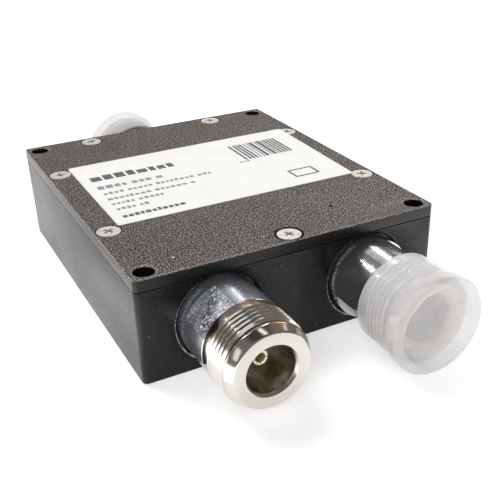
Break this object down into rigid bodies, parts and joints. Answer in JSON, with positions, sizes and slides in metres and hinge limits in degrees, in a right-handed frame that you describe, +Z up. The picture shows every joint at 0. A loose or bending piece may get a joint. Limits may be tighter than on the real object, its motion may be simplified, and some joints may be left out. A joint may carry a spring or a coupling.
{
  "type": "rf power splitter",
  "caption": "Flat metal box with a screwed lid that splits a radio signal from a threaded coaxial input jack to output jacks, with push-on dust caps.",
  "frame": {"origin": "centre of the box's flat underside", "axes": "+X to the right seen from the two output jacks, -Y along the output jacks, +Y along the input jack, +Z up out of the lid"},
  "size_m": [0.06, 0.1146, 0.0205],
  "materials": {
    "housing_paint": "satin black paint on aluminium",
    "lid_coat": "fine textured dark brown-grey powder coat",
    "label_film": "matte white film with grey and black print blocks",
    "screw_steel": "zinc-plated steel",
    "jack_nickel": "bright nickel plate with fine scratches",
    "insulator_white": "waxy white fluoropolymer",
    "contact_gold": "gold plate",
    "cap_plastic": "soft translucent milky plastic",
    "board_laminate": "pale microwave laminate",
    "track_copper": "bare copper",
    "resistor_black": "black film chip"
  },
  "bodies": {
    "root": {"housing": "housing_paint", "lid": "lid_coat", "label": "label_film", "lid_screw_front": "screw_steel", "lid_screw_left_front": "screw_steel", "lid_screw_left_rear": "screw_steel", "lid_screw_right_front": "screw_steel", "lid_screw_right_rear": "screw_steel", "lid_screw_rear_left": "screw_steel", "lid_screw_rear_right": "screw_steel", "jack_shell_left": "jack_nickel", "jack_shell_right": "jack_nickel", "jack_shell_rear": "jack_nickel", "insulator_left": "insulator_white", "insulator_right": "insulator_white", "insulator_rear": "insulator_white", "contact_left": "contact_gold", "contact_right": "contact_gold", "contact_rear": "contact_gold", "dust_cap_right": "cap_plastic", "dust_cap_rear": "cap_plastic", "circuit_board": "board_laminate", "divider_track": "track_copper", "resistor_1": "resistor_black", "resistor_2": "resistor_black", "board_screw_1": "screw_steel", "board_screw_2": "screw_steel", "board_screw_3": "screw_steel", "board_screw_4": "screw_steel"}
  },
  "joints": []
}
